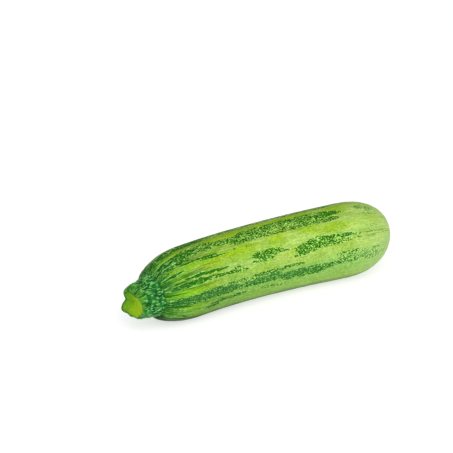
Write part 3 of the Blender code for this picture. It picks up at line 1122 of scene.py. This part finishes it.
flesh_material, tree, shader = new_material(
    "cut_flesh", roughness=0.42, specular=0.06, coat=0.04, coat_roughness=0.15
)
on_face = attribute(tree, "face_plane", "Vector")
face_axes = tree.nodes.new("ShaderNodeSeparateXYZ")
feed(tree, face_axes.inputs["Vector"], on_face)
lit_across = scaled(tree, face_axes.outputs["X"], LIT_X)
lit_upward = scaled(tree, face_axes.outputs["Y"], LIT_Y)
towards_light = sums(tree, "ADD", lit_across, lit_upward)
# Painted light and shade: lighter and warmer towards the lit side, darker and greener away from it.
flesh_colour = blended(tree, between(tree, towards_light, -0.60, 0.35), FLESH_SHADED, FLESH)
flesh_colour = tinted(tree, flesh_colour, FLESH_LIT, between(tree, towards_light, 0.30, 0.90))
fibrous = noise_in(tree, on_face, FIBRE_CELLS, detail=4.0, roughness=0.65)
flesh_colour = tinted(tree, flesh_colour, FLESH_DEEP, between(tree, fibrous, 0.48, 0.62), 0.6)

# %% Cut flesh material: bundles, and the torn rim with painted shade
FLESH_RIM_SHADE = seen(30, 84, 0)
BUNDLE_RING = 0.62
BUNDLE_CELLS = (0.17, 0.17)
TORN_CELLS = (0.20, 0.20)

from_centre = tree.nodes.new("ShaderNodeVectorMath")
from_centre.operation = "LENGTH"
feed(tree, from_centre.inputs[0], on_face)
from_ring = sums(tree, "SUBTRACT", from_centre.outputs["Value"], BUNDLE_RING)
in_ring = between(tree, sums(tree, "ABSOLUTE", from_ring), 0.22, 0.08)
bundle = between(tree, cells(tree, stretched(tree, on_face, *BUNDLE_CELLS)), 0.42, 0.24)
flesh_colour = tinted(tree, flesh_colour, FLESH_PALE, sums(tree, "MULTIPLY", bundle, in_ring), 0.35)
torn = noise_in(tree, on_face, TORN_CELLS, shift=3.0, detail=3.0, roughness=0.6)
torn_reach = sums(tree, "ADD", attribute(tree, "at_rim"), scaled(tree, torn, 1.0, -NOISE_MIDDLE))
# The torn rim is darker, partly painted shade: the darkening is left off towards the lit side.
unlit = scaled(tree, between(tree, towards_light, 0.0, 0.7), -0.75, 1.0)
rim_shade = sums(tree, "MULTIPLY", between(tree, torn_reach, 0.40, 1.0), unlit)
flesh_colour = tinted(tree, flesh_colour, FLESH_RIM_SHADE, rim_shade)
feed(tree, shader.inputs["Base Color"], flesh_colour)
raised(tree, shader, fibrous, distance=0.0002, strength=0.5)
cut_face.data.materials.append(flesh_material)
print("flesh nodes:", len(tree.nodes))

# %% [markdown]
# The prickles are pale and a little glassy. Each is so small that one soft change of green over the whole
# stub is enough to tell them apart.

# %% Prickle material
PRICKLE_GREEN = seen(96, 166, 92)
PRICKLE_PALE = seen(150, 200, 136)
TINT_CELLS = (0.003, 0.003)

prickle_material, tree, shader = new_material("prickle", roughness=0.4, specular=0.4)
prickle_place = tree.nodes.new("ShaderNodeTexCoord").outputs["Object"]
prickle_tint = between(tree, noise_in(tree, prickle_place, TINT_CELLS), 0.4, 0.6)
feed(tree, shader.inputs["Base Color"], blended(tree, prickle_tint, PRICKLE_GREEN, PRICKLE_PALE))
prickles.data.materials.append(prickle_material)
print("prickle nodes:", len(tree.nodes))

# %% [markdown]
# The stage is a plain white table. A wide soft light overhead and a little in front gives the form its shade,
# and a weaker one fills in from the side of the stem. The table glows a little, which keeps the shadow faint
# and throws light up onto the underside, as a white ground does.

# %% Table and lights
TABLE_SIZE = 6.0
TABLE_DROP = 0.0002
TABLE_GREY = 0.62
TABLE_GLOW = 0.60
LIGHT_AIM = (0, 0, 0.02)
WHITE = (1, 1, 1, 1)


def area_light(name, place, aim, size, power):
    """A square soft light at a place, turned towards a point."""
    light = bpy.data.lights.new(name, "AREA")
    light.shape = "SQUARE"
    light.size = size
    light.energy = power
    obj = in_scene(name, light)
    obj.location = place
    obj.rotation_euler = (Vector(aim) - Vector(place)).to_track_quat("-Z", "Y").to_euler()


table_shape = bmesh.new()
bmesh.ops.create_grid(table_shape, x_segments=1, y_segments=1, size=TABLE_SIZE / 2)
table_top = in_scene("table_top", mesh_of("table_top", table_shape))
table_top.location.z = -TABLE_DROP
table_material, tree, shader = new_material("white_table", roughness=0.8, specular=0.1)
shader.inputs["Base Color"].default_value = (TABLE_GREY, TABLE_GREY, TABLE_GREY, 1.0)
shader.inputs["Emission Color"].default_value = WHITE
shader.inputs["Emission Strength"].default_value = TABLE_GLOW
table_top.data.materials.append(table_material)

area_light("window", (-0.25, -0.75, 0.65), LIGHT_AIM, size=0.7, power=4.1)
area_light("side_fill", (-0.75, -0.45, 0.30), LIGHT_AIM, size=0.5, power=0.9)
print("table and", len(bpy.data.lights), "lights")

# %% [markdown]
# The room is brighter in front than behind, so the far side of the fruit falls off into a deeper green. An
# even white room would flatten it.

# %% The room
ROOM_FRONT = 1.0
ROOM_BACK = 0.12
ROOM_FACING = (-0.40, -0.85, 0.20)

world = bpy.data.worlds.new("white_room")
world.use_nodes = True
tree = world.node_tree
facing = tree.nodes.new("ShaderNodeVectorMath")
facing.operation = "DOT_PRODUCT"
facing.inputs[1].default_value = ROOM_FACING
feed(tree, facing.inputs[0], tree.nodes.new("ShaderNodeTexCoord").outputs["Generated"])
towards_front = between(tree, facing.outputs["Value"], -0.7, 0.8)
background = tree.nodes["Background"]
feed(tree, background.inputs["Strength"], scaled(tree, towards_front, ROOM_FRONT - ROOM_BACK, ROOM_BACK))
background.inputs["Color"].default_value = WHITE
bpy.context.scene.world = world
bpy.context.scene.view_settings.view_transform = "Standard"
print("room nodes:", len(tree.nodes))

# %% [markdown]
# The camera looks down at the zucchini from the side of its stem, from far enough that a long lens is right.
# Its aim is set beside the middle of the zucchini, because the picture keeps it low and to the right.

# %% Camera
VIEW_AZIMUTH = math.radians(-33.2)
VIEW_ELEVATION = math.radians(24.0)
VIEW_DISTANCE = 1.0
LENS_MM = 131.8
AIM_HEIGHT = 0.0225
AIM_LEFT = 0.01874
AIM_UP = 0.02084

back = Vector(
    (
        math.sin(VIEW_AZIMUTH) * math.cos(VIEW_ELEVATION),
        -math.cos(VIEW_AZIMUTH) * math.cos(VIEW_ELEVATION),
        math.sin(VIEW_ELEVATION),
    )
)
rightward = Vector((math.cos(VIEW_AZIMUTH), math.sin(VIEW_AZIMUTH), 0.0))
upward = back.cross(rightward)
middle = Vector((0.0, 0.0, AIM_HEIGHT))
aim = middle - AIM_LEFT * rightward + AIM_UP * upward

lens = bpy.data.cameras.new("view")
lens.lens = LENS_MM
lens.sensor_width = 36.0
camera = in_scene("view", lens)
camera.location = middle + VIEW_DISTANCE * back
camera.rotation_euler = (aim - camera.location).to_track_quat("-Z", "Y").to_euler()
bpy.context.scene.camera = camera
print("camera at", [round(place, 3) for place in camera.location])
